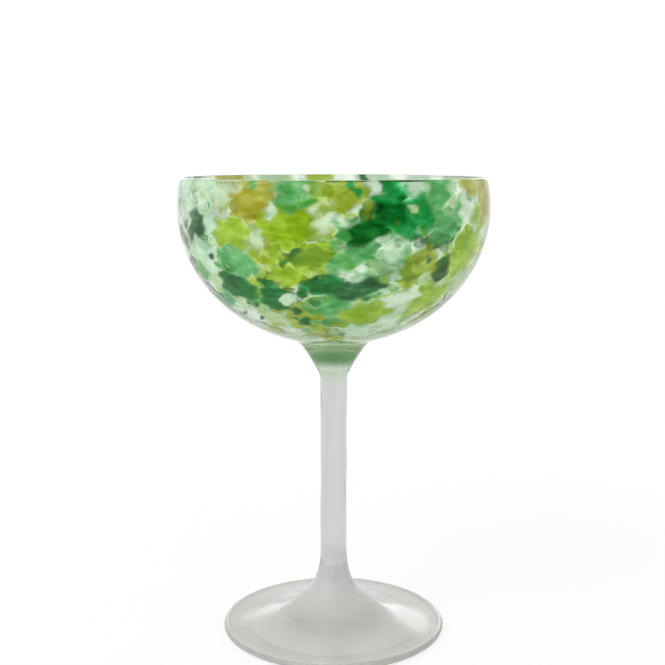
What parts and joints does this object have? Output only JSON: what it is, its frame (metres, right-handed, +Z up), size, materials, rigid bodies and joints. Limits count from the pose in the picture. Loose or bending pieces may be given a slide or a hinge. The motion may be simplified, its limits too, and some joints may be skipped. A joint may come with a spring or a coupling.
{
  "type": "champagne glass",
  "caption": "Stemmed champagne coupe: a wide round bowl of clear glass set with chips of green, lime and olive glass, on a slim clear stem and a round clear foot.",
  "frame": {"origin": "middle of the face that the foot rests on", "axes": "+Z up along the stem to the rim; -Y is the side that the picture shows"},
  "size_m": [0.0999, 0.0999, 0.15],
  "materials": {
    "clear_glass": "gloss",
    "emerald_glass": "gloss",
    "lime_glass": "gloss",
    "forest_glass": "gloss",
    "ochre_glass": "gloss",
    "leaf_glass": "gloss",
    "olive_glass": "gloss",
    "bottle_glass": "gloss",
    "mint_glass": "gloss",
    "pale_glass": "gloss",
    "sage_glass": "gloss"
  },
  "bodies": {
    "root": {"bottle_chip_1": "bottle_glass", "bottle_chip_2": "bottle_glass", "bottle_chip_3": "bottle_glass", "bottle_chip_4": "bottle_glass", "bowl": "clear_glass", "emerald_chip_1": "emerald_glass", "emerald_chip_2": "emerald_glass", "emerald_chip_3": "emerald_glass", "foot": "clear_glass", "forest_chip_1": "forest_glass", "forest_chip_2": "forest_glass", "forest_chip_3": "forest_glass", "forest_chip_4": "forest_glass", "forest_chip_5": "forest_glass", "forest_chip_6": "forest_glass", "leaf_chip_1": "leaf_glass", "leaf_chip_2": "leaf_glass", "leaf_chip_3": "leaf_glass", "leaf_chip_4": "leaf_glass", "leaf_chip_5": "leaf_glass", "leaf_chip_6": "leaf_glass", "leaf_chip_7": "leaf_glass", "leaf_chip_8": "leaf_glass", "leaf_chip_9": "leaf_glass", "lime_chip_1": "lime_glass", "lime_chip_10": "lime_glass", "lime_chip_2": "lime_glass", "lime_chip_3": "lime_glass", "lime_chip_4": "lime_glass", "lime_chip_5": "lime_glass", "lime_chip_6": "lime_glass", "lime_chip_7": "lime_glass", "lime_chip_8": "lime_glass", "lime_chip_9": "lime_glass", "mint_chip_1": "mint_glass", "mint_chip_2": "mint_glass", "mint_chip_3": "mint_glass", "mint_chip_4": "mint_glass", "mint_chip_5": "mint_glass", "mint_chip_6": "mint_glass", "mint_chip_7": "mint_glass", "mint_chip_8": "mint_glass", "ochre_chip_1": "ochre_glass", "ochre_chip_2": "ochre_glass", "ochre_chip_3": "ochre_glass", "olive_chip_1": "olive_glass", "olive_chip_2": "olive_glass", "olive_chip_3": "olive_glass", "pale_chip_1": "pale_glass", "pale_chip_2": "pale_glass", "pale_chip_3": "pale_glass", "pale_chip_4": "pale_glass", "pale_chip_5": "pale_glass", "sage_chip_1": "sage_glass", "sage_chip_2": "sage_glass", "sage_chip_3": "sage_glass", "sage_chip_4": "sage_glass", "sage_chip_5": "sage_glass", "sage_chip_6": "sage_glass", "stem": "clear_glass"}
  },
  "joints": []
}
